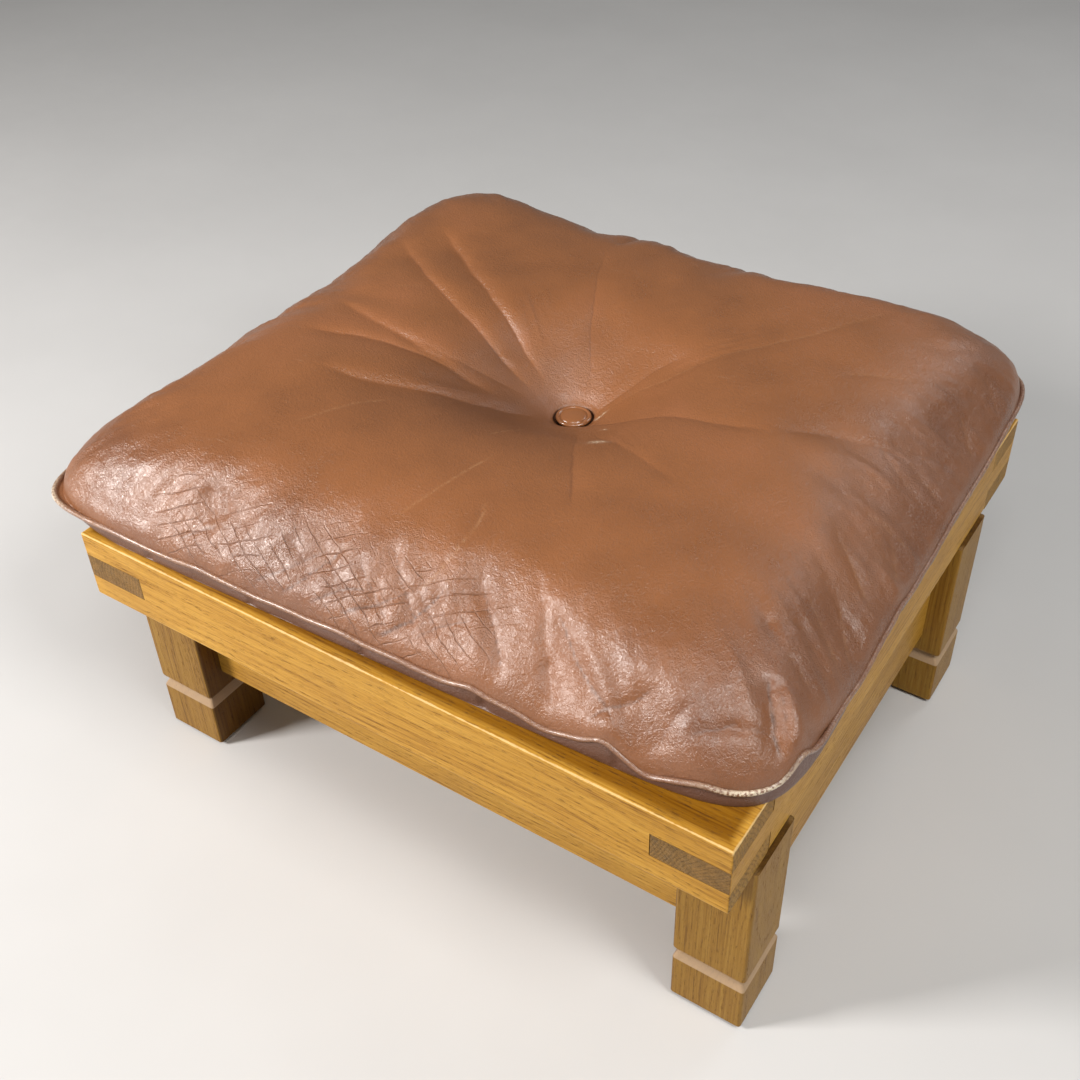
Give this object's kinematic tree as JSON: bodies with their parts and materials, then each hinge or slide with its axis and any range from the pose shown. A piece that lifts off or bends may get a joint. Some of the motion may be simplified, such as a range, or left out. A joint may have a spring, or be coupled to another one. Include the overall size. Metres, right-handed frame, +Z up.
{
  "type": "storage ottoman",
  "caption": "Low oak beam-frame ottoman on grooved block legs, with a storage box under a lift-out lid and a loose buttoned leather cushion.",
  "frame": {"origin": "on the floor, under the middle of the object's bounding box", "axes": "+Z up, +X to the right along the longer side, the front faces -Y"},
  "size_m": [0.8068, 0.7324, 0.3969],
  "materials": {
    "oak": "oiled oak, honey coloured, worn at the arrises",
    "storage_panel": "sealed birch plywood",
    "bearer_wood": "planed beech",
    "screw_steel": "zinc plated",
    "foot_felt": "pressed felt",
    "cushion_leather": "semi-aniline brown leather, worn satin",
    "welt_leather": "brown leather piping, rubbed pale at the corners",
    "button_leather": "brown leather",
    "tuft_twine": "waxed linen twine"
  },
  "bodies": {
    "root": {"back_apron": "oak", "back_rail": "oak", "floor_bearer_back": "bearer_wood", "floor_bearer_back_screw_1": "screw_steel", "floor_bearer_back_screw_2": "screw_steel", "floor_bearer_front": "bearer_wood", "floor_bearer_front_screw_1": "screw_steel", "floor_bearer_front_screw_2": "screw_steel", "floor_bearer_left": "bearer_wood", "floor_bearer_left_screw_1": "screw_steel", "floor_bearer_left_screw_2": "screw_steel", "floor_bearer_right": "bearer_wood", "floor_bearer_right_screw_1": "screw_steel", "floor_bearer_right_screw_2": "screw_steel", "foot_pad_back_left": "foot_felt", "foot_pad_back_right": "foot_felt", "foot_pad_front_left": "foot_felt", "foot_pad_front_right": "foot_felt", "front_apron": "oak", "front_rail": "oak", "left_apron": "oak", "left_rail": "oak", "leg_back_left": "oak", "leg_back_right": "oak", "leg_front_left": "oak", "leg_front_right": "oak", "lid_bearer_back": "bearer_wood", "lid_bearer_back_screw_1": "screw_steel", "lid_bearer_back_screw_2": "screw_steel", "lid_bearer_front": "bearer_wood", "lid_bearer_front_screw_1": "screw_steel", "lid_bearer_front_screw_2": "screw_steel", "lid_bearer_left": "bearer_wood", "lid_bearer_left_screw_1": "screw_steel", "lid_bearer_left_screw_2": "screw_steel", "lid_bearer_right": "bearer_wood", "lid_bearer_right_screw_1": "screw_steel", "lid_bearer_right_screw_2": "screw_steel", "right_apron": "oak", "right_rail": "oak", "storage_floor": "storage_panel"},
    "lid": {"lid_panel": "storage_panel"},
    "cushion": {"cushion_pad": "cushion_leather", "cushion_welt": "welt_leather", "cushion_button": "button_leather", "button_washer": "screw_steel", "tuft_twine": "tuft_twine"}
  },
  "joints": [
    {"name": "lid_lift", "type": "slide", "parent": "root", "child": "lid", "axis": [0, 0, 1], "range_m": [0, 0.3]},
    {"name": "cushion_lift", "type": "slide", "parent": "lid", "child": "cushion", "axis": [0, 0, 1], "range_m": [0, 0.3]}
  ]
}
